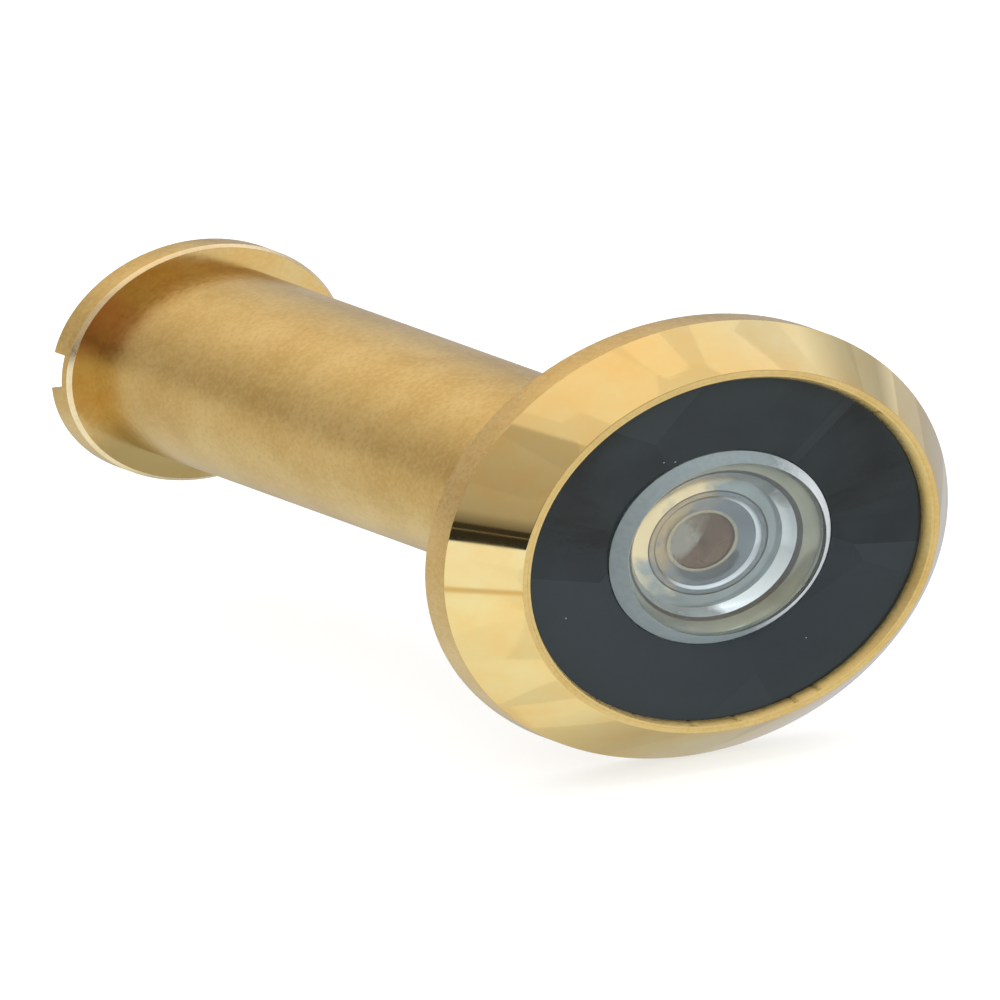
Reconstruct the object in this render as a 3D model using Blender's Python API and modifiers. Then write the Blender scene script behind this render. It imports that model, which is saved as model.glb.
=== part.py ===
"""Door viewer: a bevelled brass head with a lens in a black mask, and a slotted brass barrel.

The street-side barrel carries the head, the lenses and an external thread. The room-side
barrel is a sleeve with an internal thread, which screws over it to clamp a door between
the head and the sleeve's flange.

Units are metres. The optical axis is Y, with the street at -Y and the room at +Y, and the
origin is the centre of the head's rear face, which bears on the street side of the door.
Each piece is modelled about its own Z axis, and turned so that its Z lies along Y.
"""

import bpy
import bmesh
from math import cos, pi, radians, sin, sqrt

MM = 0.001

# Steps round every turned piece, and on each turn of a thread.
STEPS = 24
FINE = 1e-6  # merging distance, far below any real feature

# Head, with distances along the axis from its rear face, the street side negative.
HEAD_RADIUS = 16.0 * MM
HEAD_HEIGHT = 5.0 * MM
RIM_BAND = 1.8 * MM
LIP_RADIUS = 13.25 * MM
EDGE_BREAK = 0.15 * MM
POCKET_RADIUS = 12.95 * MM
POCKET_FLOOR = -1.25 * MM
SEAT_RADIUS = 7.3 * MM
SEAT_FLOOR = -0.55 * MM

# Shank behind the head, the undercut round its root that keeps the sleeve's end off the
# head, and the thread that joins the two barrels (M12 x 1.5).
SHANK_LENGTH = 24.0 * MM
SHANK_BORE = 4.9 * MM
SHOULDER_BORE = 4.5 * MM
SHOULDER_END = 0.6 * MM
UNDERCUT_RADIUS = 7.4 * MM
UNDERCUT_DEPTH = 0.1 * MM
PITCH = 1.5 * MM
MALE_CREST = 6.0 * MM
MALE_ROOT = 5.42 * MM
FEMALE_CREST = 5.55 * MM
FEMALE_ROOT = 6.15 * MM
MALE_TURNS = 14
THREAD_START = 1.8 * MM

# Sleeve, which fills the hole in the door, and its flange.
SLEEVE_RADIUS = 7.0 * MM
SLEEVE_FRONT = 0.4 * MM
DOOR_THICKNESS = 44.45 * MM
FLANGE_RADIUS = 8.7 * MM
FLANGE_THICKNESS = 1.65 * MM
ROOT_FILLET = 0.35 * MM
RELIEF_BORE = 6.2 * MM
FEMALE_TURNS = 6
THREAD_ZONE = 6.5 * MM
SLOT_WIDTH = 2.6 * MM
SLOT_DEPTH = 1.0 * MM
SLOT_ANGLE = radians(-4.0)

# Eyepiece pocket in the room end of the sleeve.
EYE_POCKET = 5.6 * MM
EYE_APERTURE = 4.6 * MM
EYE_SHOULDER = 43.3 * MM
EYE_WEB = 1.0 * MM

# The black mask round the window, and the glass at the street end. The front lens has a
# raised middle that stands in the window, and the second lens is a stepped dish behind it.
GLASS_RADIUS = 12.85 * MM
GLASS_REAR = -1.5 * MM
MASK_FRONT = -4.3 * MM
MASK_EDGE = -3.8 * MM
MASK_BACK = -3.3 * MM
WINDOW_RADIUS = 7.04 * MM
HUB_RADIUS = 6.3 * MM
HUB_FRONT = -4.5 * MM
HUB_BACK = -3.9 * MM
HUB_BORE = 6.7 * MM
DISH_RIM = -3.7 * MM

SLIP = 0.05 * MM  # clearance between pieces that are stacked along the axis
SIDE_SLIP = 0.1 * MM  # clearance between a ring or lens and its bore

BRASS_SATIN = ("brass_satin", (0.72, 0.52, 0.24), 0.34, 1.0)
BRASS_POLISHED = ("brass_polished", (0.86, 0.66, 0.30), 0.08, 1.0)
LENS_GLASS = ("lens_glass", (0.75, 0.82, 0.82), 0.03, 0.0)
MASK_BLACK = ("mask_black", (0.03, 0.035, 0.04), 0.25, 0.0)
SEAL_RUBBER = ("seal_rubber", (0.02, 0.02, 0.02), 0.7, 0.0)
BAFFLE_BLACK = ("baffle_black", (0.02, 0.02, 0.02), 0.6, 0.0)


def clear_scene():
    for item in list(bpy.data.objects):
        bpy.data.objects.remove(item)


def new_collection(name):
    collection = bpy.data.collections.new(name)
    bpy.context.scene.collection.children.link(collection)
    return collection


def finish_material(finish):
    name, colour, roughness, metallic = finish
    found = bpy.data.materials.get(name)
    if found:
        return found
    material = bpy.data.materials.new(name)
    material.use_nodes = True
    shader = material.node_tree.nodes["Principled BSDF"]
    shader.inputs["Base Color"].default_value = (*colour, 1.0)
    shader.inputs["Roughness"].default_value = roughness
    shader.inputs["Metallic"].default_value = metallic
    return material


def axis_empty(name, collection):
    """An empty on the optical axis whose Z points into the room."""
    empty = bpy.data.objects.new(name, None)
    empty.rotation_euler = (radians(-90.0), 0.0, 0.0)
    empty.empty_display_size = 0.01
    collection.objects.link(empty)
    return empty


def outline_object(name, outline, closed):
    """A mesh of edges only, which joins (radius, z) points in the XZ plane."""
    mesh = bpy.data.meshes.new(name)
    points = [(radius, 0.0, z) for radius, z in outline]
    edges = [(i, i + 1) for i in range(len(points) - 1)]
    if closed:
        edges.append((len(points) - 1, 0))
    mesh.from_pydata(points, edges, [])
    return bpy.data.objects.new(name, mesh)


def add_screw(item, turns=1, pitch=0.0):
    screw = item.modifiers.new("Turn", "SCREW")
    screw.angle = 2.0 * pi
    screw.iterations = turns
    screw.screw_offset = pitch
    screw.steps = STEPS
    screw.render_steps = STEPS
    screw.use_merge_vertices = True
    screw.merge_threshold = FINE


def apply_modifiers(item):
    """Replaces the object's mesh with the evaluated one and shades its round faces smooth."""
    depsgraph = bpy.context.evaluated_depsgraph_get()
    mesh = bpy.data.meshes.new_from_object(item.evaluated_get(depsgraph), depsgraph=depsgraph)
    item.modifiers.clear()
    item.data = mesh
    mesh.shade_smooth()
    mesh.set_sharp_from_angle(angle=radians(30.0))


def turned(name, outline, finish, closed, collection, parent):
    """A turned piece: the outline runs down its outer side, from the room end to the street."""
    item = outline_object(name, outline, closed)
    collection.objects.link(item)
    item.parent = parent
    add_screw(item)
    apply_modifiers(item)
    item.data.materials.clear()
    item.data.materials.append(finish_material(finish))
    return item


def helix(name, section, start, turns, collection, parent):
    """A closed helical bar of one thread: section is (radius, z) points, start its first z."""
    outline = [(radius, start + z) for radius, z in section]
    item = outline_object(name, outline, closed=True)
    collection.objects.link(item)
    item.parent = parent
    item.hide_render = True
    item.display_type = "WIRE"
    add_screw(item, turns, PITCH)
    apply_modifiers(item)
    work = bmesh.new()
    work.from_mesh(item.data)
    ends = [edge for edge in work.edges if edge.is_boundary]
    bmesh.ops.holes_fill(work, edges=ends)
    bmesh.ops.recalc_face_normals(work, faces=work.faces)
    work.to_mesh(item.data)
    work.free()
    return item


def thread_section(inner, outer, inner_half, outer_half):
    """One thread's trapezium, wide at its inner radius."""
    return [(inner, inner_half), (outer, outer_half), (outer, -outer_half), (inner, -inner_half)]


def box_cutter(name, size, centre, angle, collection, parent):
    bpy.ops.mesh.primitive_cube_add(size=1.0)
    item = bpy.context.object
    item.name = name
    for home in item.users_collection:
        home.objects.unlink(item)
    collection.objects.link(item)
    item.parent = parent
    item.scale = size
    item.location = centre
    item.rotation_euler = (0.0, 0.0, angle)
    item.hide_render = True
    item.display_type = "WIRE"
    return item


def combine(item, tool, operation):
    change = item.modifiers.new(tool.name, "BOOLEAN")
    change.operation = operation
    change.solver = "EXACT"
    change.object = tool
    bpy.context.view_layer.update()
    apply_modifiers(item)


def cap(radius, edge_z, sag, from_axis, points=6):
    """(radius, z) points on a lens surface whose middle stands sag from its edge."""
    curvature = (radius * radius + sag * sag) / (2.0 * abs(sag))
    side = 1.0 if sag > 0.0 else -1.0
    arc = []
    for i in range(points):
        across = radius * i / (points - 1)
        drop = curvature - sqrt(curvature * curvature - across * across)
        arc.append((across, edge_z + sag - side * drop))
    return arc if from_axis else arc[::-1]


def outer_barrel(collection, cutters, parent):
    outline = [
        (SHANK_BORE, SHANK_LENGTH),
        (MALE_ROOT - 2.0 * EDGE_BREAK, SHANK_LENGTH),
        (MALE_ROOT, SHANK_LENGTH - 2.0 * EDGE_BREAK),
        (MALE_ROOT, -UNDERCUT_DEPTH),
        (UNDERCUT_RADIUS, -UNDERCUT_DEPTH),
        (UNDERCUT_RADIUS, 0.0),
        (HEAD_RADIUS - EDGE_BREAK, 0.0),
        (HEAD_RADIUS, -EDGE_BREAK),
        (HEAD_RADIUS, -RIM_BAND),
        (LIP_RADIUS, -HEAD_HEIGHT),
        (POCKET_RADIUS, -HEAD_HEIGHT),
        (POCKET_RADIUS, POCKET_FLOOR),
        (SEAT_RADIUS, POCKET_FLOOR),
        (SEAT_RADIUS, SEAT_FLOOR),
        (SHOULDER_BORE, SEAT_FLOOR),
        (SHOULDER_BORE, SHOULDER_END),
        (SHANK_BORE, SHOULDER_END),
    ]
    barrel = turned("outer_barrel", outline, BRASS_POLISHED, True, collection, parent)
    section = thread_section(MALE_ROOT - SIDE_SLIP, MALE_CREST, 0.48 * MM, 0.10 * MM)
    thread = helix("male_thread", section, THREAD_START, MALE_TURNS, cutters, parent)
    combine(barrel, thread, "UNION")
    return barrel


def inner_barrel(collection, cutters, parent):
    end = DOOR_THICKNESS + FLANGE_THICKNESS
    fillet = [
        (
            SLEEVE_RADIUS + ROOT_FILLET * (1.0 - sin(step * pi / 6.0)),
            DOOR_THICKNESS - ROOT_FILLET * (1.0 - cos(step * pi / 6.0)),
        )
        for step in range(4)
    ]
    outline = [
        (EYE_POCKET, end),
        (FLANGE_RADIUS - EDGE_BREAK, end),
        (FLANGE_RADIUS, end - EDGE_BREAK),
        (FLANGE_RADIUS, DOOR_THICKNESS + EDGE_BREAK),
        (FLANGE_RADIUS - EDGE_BREAK, DOOR_THICKNESS),
        *fillet,
        (SLEEVE_RADIUS, SLEEVE_FRONT + EDGE_BREAK),
        (SLEEVE_RADIUS - EDGE_BREAK, SLEEVE_FRONT),
        (FEMALE_CREST + 2.0 * EDGE_BREAK, SLEEVE_FRONT),
        (FEMALE_CREST, SLEEVE_FRONT + 2.0 * EDGE_BREAK),
        (FEMALE_CREST, SLEEVE_FRONT + THREAD_ZONE),
        (RELIEF_BORE, SLEEVE_FRONT + THREAD_ZONE + 0.65 * MM),
        (RELIEF_BORE, EYE_SHOULDER - EYE_WEB),
        (EYE_APERTURE, EYE_SHOULDER - EYE_WEB),
        (EYE_APERTURE, EYE_SHOULDER),
        (EYE_POCKET, EYE_SHOULDER),
    ]
    barrel = turned("inner_barrel", outline, BRASS_SATIN, True, collection, parent)
    section = thread_section(FEMALE_CREST - SIDE_SLIP, FEMALE_ROOT, 0.56 * MM, 0.22 * MM)
    thread = helix("female_thread", section, THREAD_START - 2 * PITCH, FEMALE_TURNS, cutters, parent)
    combine(barrel, thread, "DIFFERENCE")
    size = (2.4 * FLANGE_RADIUS, SLOT_WIDTH, 2.0 * SLOT_DEPTH)
    slot = box_cutter("driver_slot", size, (0.0, 0.0, end), -SLOT_ANGLE, cutters, parent)
    combine(barrel, slot, "DIFFERENCE")
    return barrel


def ring(name, inner, outer, street, room, finish, collection, parent):
    outline = [(inner, room), (outer, room), (outer, street), (inner, street)]
    return turned(name, outline, finish, True, collection, parent)


def slotted_ring(name, inner, outer, street, room, collection, cutters, parent):
    """A lock ring with a spanner slot right across its room face."""
    item = ring(name, inner, outer, street, room, BRASS_SATIN, collection, parent)
    size = (2.4 * outer, 0.9 * MM, 1.0 * MM)
    slot = box_cutter(name + "_slot", size, (0.0, 0.0, room), 0.0, cutters, parent)
    combine(item, slot, "DIFFERENCE")
    return item


def front_lens(collection, parent):
    """Raised in the middle, hollow behind, and with a chamfer that the seal sits in."""
    chamfer = 0.6 * MM
    outline = [
        (0.0, HUB_BACK - 0.08 * MM),
        (HUB_BORE - 0.15 * MM, HUB_BACK),
        (HUB_BORE, HUB_BACK + EDGE_BREAK),
        (HUB_BORE, GLASS_REAR),
        (GLASS_RADIUS - chamfer, GLASS_REAR),
        (GLASS_RADIUS, GLASS_REAR - chamfer),
        (GLASS_RADIUS, MASK_BACK + SLIP),
        (WINDOW_RADIUS, MASK_BACK + SLIP),
        (WINDOW_RADIUS, MASK_EDGE),
        (HUB_RADIUS, HUB_FRONT),
        (0.0, HUB_FRONT - SLIP),
    ]
    return turned("front_lens", outline, LENS_GLASS, False, collection, parent)


def mask_ring(collection, parent):
    """The black ring under the bezel. Its face slopes a little inwards to the window."""
    inner = WINDOW_RADIUS + SLIP
    outline = [
        (inner, MASK_BACK),
        (GLASS_RADIUS, MASK_BACK),
        (GLASS_RADIUS, MASK_FRONT),
        (GLASS_RADIUS - 0.5 * MM, MASK_FRONT),
        (inner, MASK_EDGE),
    ]
    return turned("mask_ring", outline, MASK_BLACK, True, collection, parent)


def second_lens(collection, parent):
    """A dish that steps down to its middle, and is hollow behind too."""
    room = SEAT_FLOOR - SLIP
    rim = SEAT_RADIUS - SIDE_SLIP
    side = HUB_BORE - 0.15 * MM
    outline = [
        *cap(4.6 * MM, room, -0.6 * MM, from_axis=True),
        (rim, room),
        (rim, -1.2 * MM),
        (side, -1.3 * MM),
        (side, DISH_RIM + 0.1 * MM),
        (side - 0.1 * MM, DISH_RIM),
        (6.25 * MM, DISH_RIM),
        (5.45 * MM, -3.15 * MM),
        (5.3 * MM, -3.1 * MM),
        (5.2 * MM, -2.25 * MM),
        (3.8 * MM, -2.4 * MM),
        (3.4 * MM, -2.4 * MM),
        (3.2 * MM, -2.15 * MM),
        (2.1 * MM, -1.9 * MM),
        (1.95 * MM, -1.75 * MM),
        (0.0, -1.6 * MM),
    ]
    return turned("second_lens", outline, LENS_GLASS, False, collection, parent)


def third_lens(collection, parent):
    """Hollow on both faces."""
    street, room = SHOULDER_END + SLIP, SHOULDER_END + 2.05 * MM
    outline = [
        *cap(4.2 * MM, room, -0.6 * MM, from_axis=True),
        (SHANK_BORE - SIDE_SLIP, room),
        (SHANK_BORE - SIDE_SLIP, street),
        *cap(4.2 * MM, street, 0.5 * MM, from_axis=False),
    ]
    return turned("third_lens", outline, LENS_GLASS, False, collection, parent)


def eyepiece_lens(collection, parent):
    """Domed on both faces."""
    street, room = 43.7 * MM, 44.5 * MM
    outline = [
        *cap(4.5 * MM, room, 0.8 * MM, from_axis=True),
        (EYE_POCKET - 1.5 * SIDE_SLIP, room),
        (EYE_POCKET - 1.5 * SIDE_SLIP, street),
        *cap(4.4 * MM, street, -0.8 * MM, from_axis=False),
    ]
    return turned("eyepiece_lens", outline, LENS_GLASS, False, collection, parent)


def lens_seal(collection, parent):
    """A rubber ring in the corner between the glass, the pocket wall and the pocket floor."""
    bpy.ops.mesh.primitive_torus_add(
        major_segments=STEPS,
        minor_segments=8,
        major_radius=12.65 * MM,
        minor_radius=0.22 * MM,
    )
    item = bpy.context.object
    item.name = "lens_seal"
    for home in item.users_collection:
        home.objects.unlink(item)
    collection.objects.link(item)
    item.parent = parent
    item.location = (0.0, 0.0, -1.52 * MM)
    item.data.shade_smooth()
    item.data.materials.append(finish_material(SEAL_RUBBER))
    return item


def build():
    clear_scene()
    parts = new_collection("door_viewer")
    cutters = new_collection("cutters")
    street_half = axis_empty("street_half_axis", parts)
    eyepiece = axis_empty("eyepiece_slide_axis", parts)
    sleeve = axis_empty("sleeve_screw_axis", parts)
    bpy.context.view_layer.update()

    outer_barrel(parts, cutters, street_half)
    mask_ring(parts, street_half)
    front_lens(parts, street_half)
    lens_seal(parts, street_half)
    second_lens(parts, street_half)
    third_lens(parts, street_half)
    bore = SHANK_BORE - SIDE_SLIP
    rings = (
        ("bezel_ring", 12.5 * MM, POCKET_RADIUS - SLIP, -HEAD_HEIGHT, MASK_FRONT - SLIP, BRASS_SATIN),
        ("baffle_tube", 4.3 * MM, bore, 2.7 * MM, 11.7 * MM, BAFFLE_BLACK),
        ("field_stop", 2.6 * MM, bore, 11.75 * MM, 12.0 * MM, BAFFLE_BLACK),
    )
    for name, inner, outer, street, room, finish in rings:
        ring(name, inner, outer, street, room, finish, parts, street_half)
    slotted_ring("lens_lock_ring", 3.9 * MM, bore, 12.05 * MM, 13.8 * MM, parts, cutters, street_half)

    inner_barrel(parts, cutters, sleeve)
    eyepiece_lens(parts, eyepiece)
    rim = EYE_POCKET - SIDE_SLIP
    ring("eyepiece_washer", 4.7 * MM, rim, 43.35 * MM, 43.65 * MM, SEAL_RUBBER, parts, eyepiece)
    slotted_ring("eyepiece_ring", 4.7 * MM, rim, 44.55 * MM, 45.7 * MM, parts, cutters, eyepiece)


build()
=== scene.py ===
"""Door viewer: the finely turned visual pieces, their materials, and a pale studio."""

from math import cos, pi, radians, sin, sqrt, tan

import bmesh
import bpy
from mathutils import Matrix, Vector, noise


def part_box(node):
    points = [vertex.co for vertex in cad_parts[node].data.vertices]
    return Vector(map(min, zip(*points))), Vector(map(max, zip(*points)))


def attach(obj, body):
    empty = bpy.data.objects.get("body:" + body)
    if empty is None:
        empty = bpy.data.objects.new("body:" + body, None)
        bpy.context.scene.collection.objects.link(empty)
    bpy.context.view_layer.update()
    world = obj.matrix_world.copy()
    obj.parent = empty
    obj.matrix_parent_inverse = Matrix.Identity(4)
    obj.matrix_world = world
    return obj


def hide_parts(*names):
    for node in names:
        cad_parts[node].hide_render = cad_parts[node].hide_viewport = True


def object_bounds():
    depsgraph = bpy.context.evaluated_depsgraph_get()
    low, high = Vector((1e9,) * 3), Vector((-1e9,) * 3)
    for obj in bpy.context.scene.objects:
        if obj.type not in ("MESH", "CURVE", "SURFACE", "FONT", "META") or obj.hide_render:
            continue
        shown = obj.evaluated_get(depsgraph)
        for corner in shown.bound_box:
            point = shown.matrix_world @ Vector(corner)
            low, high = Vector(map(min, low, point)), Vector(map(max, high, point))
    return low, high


MM = 0.001

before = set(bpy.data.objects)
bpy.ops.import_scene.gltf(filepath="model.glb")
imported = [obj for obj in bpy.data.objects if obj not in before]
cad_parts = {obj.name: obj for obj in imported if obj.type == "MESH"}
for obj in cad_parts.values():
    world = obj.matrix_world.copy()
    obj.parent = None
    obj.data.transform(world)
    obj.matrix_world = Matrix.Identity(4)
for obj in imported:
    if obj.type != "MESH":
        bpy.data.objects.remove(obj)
CAD_LOW, CAD_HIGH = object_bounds()

# Steps round a turned piece.
FINE = 256
SMALL = 128
BEZEL_STEPS = 512
MASK_STEPS = 720

TINY = 1e-9
SHARP_EDGE = radians(40.0)  # faces that meet at more than this aren't shaded smoothly
FLAT_CORNER = radians(158.0)  # corners of an outline flatter than this aren't rounded

# Head, with distances along Y from its rear face, the street side negative.
HEAD_RADIUS = CAD_HIGH.x
HEAD_HEIGHT = -CAD_LOW.y
RIM_BAND = 1.8 * MM
LIP_RADIUS = 13.25 * MM
POCKET_RADIUS = 12.95 * MM
POCKET_FLOOR = -1.25 * MM
SEAT_RADIUS = 7.3 * MM
SEAT_FLOOR = -0.55 * MM
SHANK_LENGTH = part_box("outer_barrel")[1].y
SHANK_BORE = 4.9 * MM
SHOULDER_BORE = 4.5 * MM
SHOULDER_END = 0.6 * MM
UNDERCUT_RADIUS = 7.4 * MM
UNDERCUT_DEPTH = 0.1 * MM
NECK_END = 1.0 * MM

# The thread between the two barrels.
PITCH = 1.5 * MM
THREAD_START = 1.8 * MM
MALE_END = THREAD_START + 14 * PITCH
MALE_CREST = 6.0 * MM
MALE_ROOT = 5.42 * MM
FEMALE_CREST = 5.55 * MM
FEMALE_ROOT = 6.15 * MM

# Sleeve and its flange.
SLEEVE_RADIUS = 7.0 * MM
SLEEVE_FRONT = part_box("inner_barrel")[0].y
SLEEVE_END = CAD_HIGH.y
FLANGE_FRONT = 44.45 * MM
FLANGE_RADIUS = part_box("inner_barrel")[1].x
FLANGE_CHAMFER = 0.22 * MM
THREAD_ZONE = 6.5 * MM
RELIEF_BORE = 6.2 * MM
RELIEF_START = SLEEVE_FRONT + THREAD_ZONE + 0.65 * MM
EYE_POCKET = 5.6 * MM
EYE_APERTURE = 4.6 * MM
EYE_SHOULDER = 43.3 * MM
EYE_SHOULDER_THICKNESS = 1.0 * MM
SLOT_WIDTH = 2.6 * MM
SLOT_DEPTH = 1.0 * MM
SLOT_ANGLE = radians(-4.0)

# The black mask round the window, the front lens that stands in it, and the dish behind.
GLASS_RADIUS = 12.85 * MM
GLASS_REAR = -1.5 * MM
MASK_FRONT = -4.3 * MM
MASK_EDGE = -3.8 * MM
MASK_BACK = -3.3 * MM
WINDOW_RADIUS = 7.04 * MM
HUB_RADIUS = 6.3 * MM
HUB_FRONT = -4.5 * MM
HUB_BACK = -3.9 * MM
HUB_BORE = 6.7 * MM
DISH_RIM = -3.7 * MM
BEZEL_BORE = 12.5 * MM
SEAL_RADIUS = 12.65 * MM
SEAL_SECTION = 0.22 * MM
SEAL_MIDDLE = GLASS_REAR - 0.02 * MM

# Where the dish turns from one step to the next, as radius and place along Y.
DISH_EDGE = (6.25 * MM, DISH_RIM)
SHELF_EDGE = (5.50 * MM, -3.20 * MM)
STEP_TOP = (5.25 * MM, -3.0 * MM)
STEP_FOOT = (4.75 * MM, -2.34 * MM)
FLOOR_END = (3.85 * MM, -2.42 * MM)
GROOVE_START = (3.82 * MM, -2.42 * MM)
GROOVE_END = (3.72 * MM, -2.39 * MM)
ARC_FOOT = (3.42 * MM, -2.40 * MM)
ARC_TOP = (3.20 * MM, -2.18 * MM)
RING_START = (2.25 * MM, -1.92 * MM)
RING_END = (2.05 * MM, -1.90 * MM)
MIDDLE_EDGE = (1.98 * MM, -1.78 * MM)
MIDDLE_TOP = (0.0, -1.6 * MM)

# The stack in the shank, and the eyepiece in its pocket. Neighbours are a thin gap apart.
GAP = 0.05 * MM
STACK_RADIUS = SHANK_BORE - 0.1 * MM
BAFFLE_START = 2.7 * MM
BAFFLE_END = 11.7 * MM
STOP_END = 12.0 * MM
LOCK_END = 13.8 * MM
EYE_RADIUS = EYE_POCKET - 0.1 * MM
EYE_BORE = 4.7 * MM
EYE_GLASS_START = 43.7 * MM
EYE_GLASS_END = 44.5 * MM
EYE_RING_END = 45.7 * MM
DRIVER_SLOT_WIDTH = 0.9 * MM
DRIVER_SLOT_DEPTH = 0.5 * MM


# ---------------------------------------------------------------- node helpers


def node_material(name):
    material = bpy.data.materials.new(name)
    material.use_nodes = True
    tree = material.node_tree
    tree.nodes.clear()
    output = tree.nodes.new("ShaderNodeOutputMaterial")
    return material, tree, output


def add(tree, kind, inputs=None, **settings):
    """A new node. inputs maps a socket's name or number to a value or to another socket."""
    node = tree.nodes.new(kind)
    for key, value in settings.items():
        setattr(node, key, value)
    for key, value in (inputs or {}).items():
        socket = node.inputs[key]
        if isinstance(value, bpy.types.NodeSocket):
            tree.links.new(value, socket)
        else:
            socket.default_value = value
    return node


def place(tree, scale=(1.0, 1.0, 1.0)):
    """The point's place on the object in metres, stretched by scale."""
    where = add(tree, "ShaderNodeTexCoord")
    return add(tree, "ShaderNodeMapping", {"Vector": where.outputs["Object"], "Scale": scale}).outputs[0]


def noise_at(tree, vector, scale, detail=3.0, roughness=0.5):
    inputs = {"Vector": vector, "Scale": scale, "Detail": detail, "Roughness": roughness}
    return add(tree, "ShaderNodeTexNoise", inputs).outputs["Fac"]


def ramp(tree, factor, stops):
    node = add(tree, "ShaderNodeValToRGB", {"Fac": factor})
    elements = node.color_ramp.elements
    while len(elements) < len(stops):
        elements.new(0.5)
    for element, (position, colour) in zip(elements, stops):
        element.position = position
        element.color = (*colour, 1.0)
    return node.outputs["Color"]


def spread(tree, factor, low, high, from_low=0.3, from_high=0.7):
    """factor, mapped from its usual spread to low..high."""
    inputs = {"Value": factor, 1: from_low, 2: from_high, 3: low, 4: high}
    return add(tree, "ShaderNodeMapRange", inputs).outputs[0]


def mix_colour(tree, factor, first, second, blend="MIX"):
    """first, blended towards second by factor. The node's colours are its sockets 6 and 7."""
    node = add(tree, "ShaderNodeMix", data_type="RGBA", blend_type=blend)
    for index, value in ((0, factor), (6, first), (7, second)):
        if isinstance(value, bpy.types.NodeSocket):
            tree.links.new(value, node.inputs[index])
        else:
            node.inputs[index].default_value = value if index == 0 else (*value, 1.0)
    return node.outputs[2]


def maths(tree, operation, first, second=0.0):
    return add(tree, "ShaderNodeMath", {0: first, 1: second}, operation=operation).outputs[0]


def bumped(tree, height, strength, distance, under=None):
    """The normal, bumped by height, on top of the bumps in under."""
    inputs = {"Strength": strength, "Distance": distance, "Height": height}
    if under:
        inputs["Normal"] = under
    return add(tree, "ShaderNodeBump", inputs).outputs[0]


def finished(material, tree, output, inputs):
    """The material, with a principled shader that has these inputs."""
    shader = add(tree, "ShaderNodeBsdfPrincipled", inputs)
    tree.links.new(shader.outputs[0], output.inputs[0])
    return material


def radius_from_axis(tree):
    """Distance from the optical axis, and the place along it, both in millimetres."""
    parts = add(tree, "ShaderNodeSeparateXYZ", {0: place(tree, (1000.0,) * 3)})
    x, y, z = parts.outputs
    squares = maths(tree, "ADD", maths(tree, "MULTIPLY", x, x), maths(tree, "MULTIPLY", z, z))
    return maths(tree, "SQRT", squares), y


def on_side(tree, spot, towards, low, high, wobble):
    """Rises from 0 to 1 on the side of the axis that faces towards, an angle from +X to +Z, as the
    cosine between them goes from low to high. wobble roughens the limits."""
    flat = add(tree, "ShaderNodeVectorMath", {0: spot, 1: (1.0, 0.0, 1.0)}, operation="MULTIPLY")
    side = add(tree, "ShaderNodeVectorMath", {0: flat.outputs[0]}, operation="NORMALIZE")
    heading = (cos(towards), 0.0, sin(towards))
    facing = add(tree, "ShaderNodeVectorMath", {0: side.outputs[0], 1: heading}, operation="DOT_PRODUCT")
    return spread(tree, maths(tree, "ADD", facing.outputs[1], wobble), 0.0, 1.0, low, high)


# ---------------------------------------------------------------- materials

GLASS_INDEX = 1.52
DUST_COLOUR = (0.45, 0.46, 0.46)


def turned_lines(tree, per_mm):
    """Fine rings left by the lathe: noise that depends only on radius and place along the axis."""
    radius, along = radius_from_axis(tree)
    vector = add(tree, "ShaderNodeCombineXYZ", {0: radius, 1: along}).outputs[0]
    return noise_at(tree, vector, per_mm, detail=2.0, roughness=0.6)


def satin_brass(name, colour, tarnish, roughness, grain=2.5, side_tints=()):
    """Satin brass with a sandy grain, patchy tarnish and the faint rings of the lathe. Each side
    tint has a direction, from +X to +Z, the cosines at its edge and where it is full, and a colour."""
    material, tree, output = node_material(name)
    spot = place(tree)
    patches = noise_at(tree, spot, 210.0, detail=4.0, roughness=0.6)
    sand = noise_at(tree, spot, 3300.0, detail=2.0, roughness=0.6)
    base = mix_colour(tree, spread(tree, patches, 0.0, 1.0, 0.36, 0.70), colour, tarnish)
    lighter = tuple(min(1.0, channel * 1.10) for channel in colour)
    darker = tuple(channel * 0.88 for channel in tarnish)
    base = mix_colour(tree, spread(tree, sand, 0.4, 0.0, 0.32, 0.5), base, darker)
    base = mix_colour(tree, spread(tree, sand, 0.0, 0.4, 0.5, 0.68), base, lighter)
    # each side tint blends the colour in towards one side of the axis
    for towards, edge, full, tint_colour in side_tints:
        strength = on_side(tree, spot, towards, edge, full, spread(tree, patches, -0.06, 0.06))
        base = mix_colour(tree, maths(tree, "MULTIPLY", strength, 0.85), base, tint_colour)
    lines = turned_lines(tree, grain)
    gloss = spread(tree, sand, roughness * 0.85, roughness * 1.15)
    normal = bumped(tree, lines, 0.10, 0.04 * MM)
    normal = bumped(tree, sand, 0.05, 0.05 * MM, normal)
    inputs = {"Base Color": base, "Metallic": 1.0, "Roughness": gloss, "Normal": normal}
    return finished(material, tree, output, inputs)


def polished_brass(name, colour, warm):
    """Mirror brass with faint buffing swirls, warm smudges and the least waviness."""
    material, tree, output = node_material(name)
    spot = place(tree)
    smudge = noise_at(tree, spot, 260.0, detail=5.0, roughness=0.6)
    waves = noise_at(tree, spot, 90.0, detail=1.0)
    lines = turned_lines(tree, 4.0)
    gloss = spread(tree, smudge, 0.025, 0.08)
    base = mix_colour(tree, spread(tree, smudge, 0.0, 1.0, 0.4, 0.72), colour, warm)
    normal = bumped(tree, lines, 0.04, 0.02 * MM)
    normal = bumped(tree, waves, 0.14, 0.2 * MM, normal)
    inputs = {"Base Color": base, "Metallic": 1.0, "Roughness": gloss, "Normal": normal}
    return finished(material, tree, output, inputs)


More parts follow.
